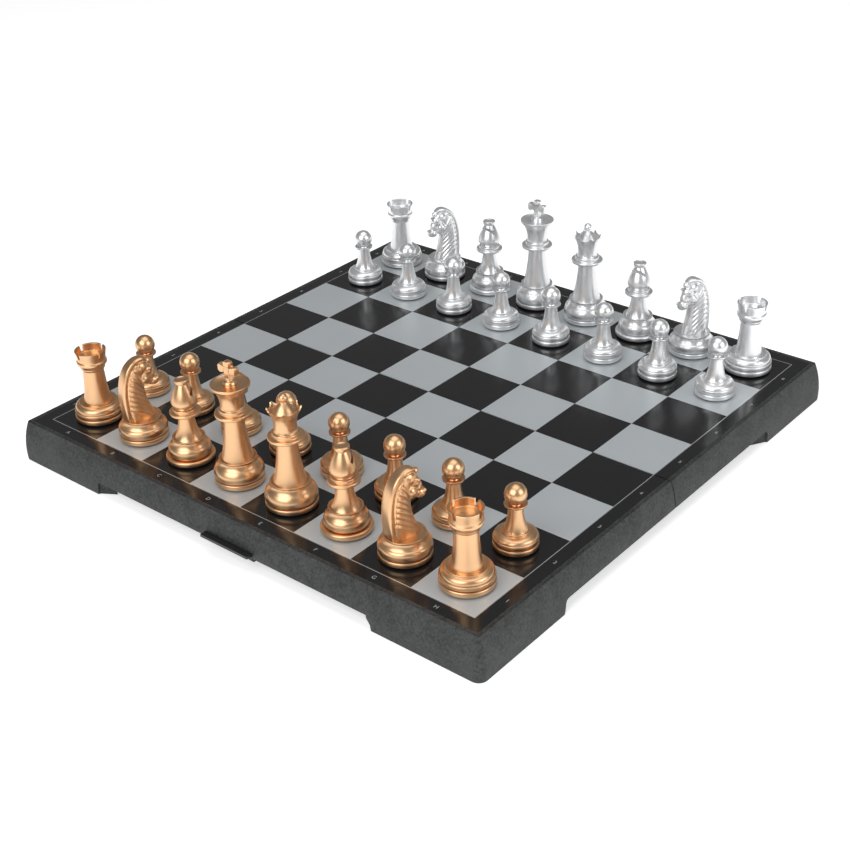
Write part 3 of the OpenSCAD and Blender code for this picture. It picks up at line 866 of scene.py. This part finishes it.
def makeCoordinates(name, marks, body):
    bm = bmesh.new()
    for text, x, y in marks:
        curve = bpy.data.curves.new("mark", "FONT")
        curve.body = text
        curve.size = letterLook["size"] * millimetre
        curve.align_x = "CENTER"
        curve.align_y = "CENTER"
        holder = bpy.data.objects.new("mark", curve)
        bpy.context.collection.objects.link(holder)
        bpy.context.view_layer.update()
        flat = bpy.data.meshes.new_from_object(
            holder.evaluated_get(bpy.context.evaluated_depsgraph_get()))
        flat.transform(Matrix.Translation((x * millimetre, y * millimetre,
                                           boardTop + letterLook["lift"] * millimetre)))
        bm.from_mesh(flat)
        bpy.data.objects.remove(holder)
        bpy.data.meshes.remove(flat)
    mesh = bpy.data.meshes.new(name)
    bm.to_mesh(mesh)
    bm.free()
    mesh.materials.append(ink)
    coordinates = bpy.data.objects.new(name, mesh)
    bpy.context.collection.objects.link(coordinates)
    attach(coordinates, body)


edge = 4 * board["square"] + letterLook["border"]
for body, side, ranks in (("front_half", -1, range(0, 4)), ("rear_half", 1, range(4, 8))):
    marks = [(letter, squareMiddle(column), side * edge)
             for column, letter in enumerate(board["files"])]
    for rank in ranks:
        for x in (-edge, edge):
            marks.append((str(rank + 1), x, squareMiddle(rank)))
    makeCoordinates("coordinates_" + body, marks, body)
print("coordinates made")


# studio

studio = {
    "floorSize": 40.0,  # m
    "floorDrop": 0.0002,
    "floorColour": (0.88, 0.88, 0.88),
    "floorGlow": 0.53,  # keeps the paper white where the lamps fall off
    "worldStrength": 0.2,
    "aim": (0, 0, 0.03),
    "softboxes": [  # place, size, power
        ((0.1, -1.45, 1.1), 1.4, 18.0),
        ((1.45, 0.15, 0.85), 1.0, 8.5),
        ((0.0, 0.2, 2.2), 2.0, 17.0),
    ],
}

floorMesh = bpy.data.meshes.new("floor")
half = studio["floorSize"] / 2
floorMesh.from_pydata([(-half, -half, 0), (half, -half, 0), (half, half, 0), (-half, half, 0)],
                      [], [(0, 1, 2, 3)])
floor = bpy.data.objects.new("floor", floorMesh)
floor.location.z = -studio["floorDrop"]
bpy.context.collection.objects.link(floor)
floorMaterial, floorWire, floorShader = newMaterial("paleFloor", studio["floorColour"])
feed(floorWire, floorShader, Base_Color=(*studio["floorColour"], 1), Roughness=0.7,
     Emission_Color=(1, 1, 1, 1), Emission_Strength=studio["floorGlow"])
floorMesh.materials.append(floorMaterial)

for number, (place, size, power) in enumerate(studio["softboxes"]):
    light = bpy.data.lights.new("softbox%d" % number, "AREA")
    light.shape = "SQUARE"
    light.size = size
    light.energy = power
    lamp = bpy.data.objects.new("softbox%d" % number, light)
    lamp.location = place
    towards = Vector(studio["aim"]) - Vector(place)
    lamp.rotation_euler = towards.to_track_quat("-Z", "Y").to_euler()
    bpy.context.collection.objects.link(lamp)

world = bpy.data.worlds.new("studioAir")
bpy.context.scene.world = world
world.use_nodes = True
world.node_tree.nodes["Background"].inputs["Color"].default_value = (1, 1, 1, 1)
world.node_tree.nodes["Background"].inputs["Strength"].default_value = studio["worldStrength"]

cameraSetting = {"place": (0.5214, -0.6123, 0.4671), "turn": (59.86, 1.82, 39.53), "lens": 62.16,
                 "shift": (-0.0013, 0.0013), "sensor": 36.0, "near": 0.01}
cameraData = bpy.data.cameras.new("camera")
cameraData.lens = cameraSetting["lens"]
cameraData.sensor_width = cameraSetting["sensor"]
cameraData.clip_start = cameraSetting["near"]
cameraData.shift_x, cameraData.shift_y = cameraSetting["shift"]
camera = bpy.data.objects.new("camera", cameraData)
camera.location = cameraSetting["place"]
camera.rotation_euler = [math.radians(a) for a in cameraSetting["turn"]]
bpy.context.collection.objects.link(camera)
bpy.context.scene.camera = camera
bpy.context.scene.view_settings.view_transform = "Standard"
print("studio set")
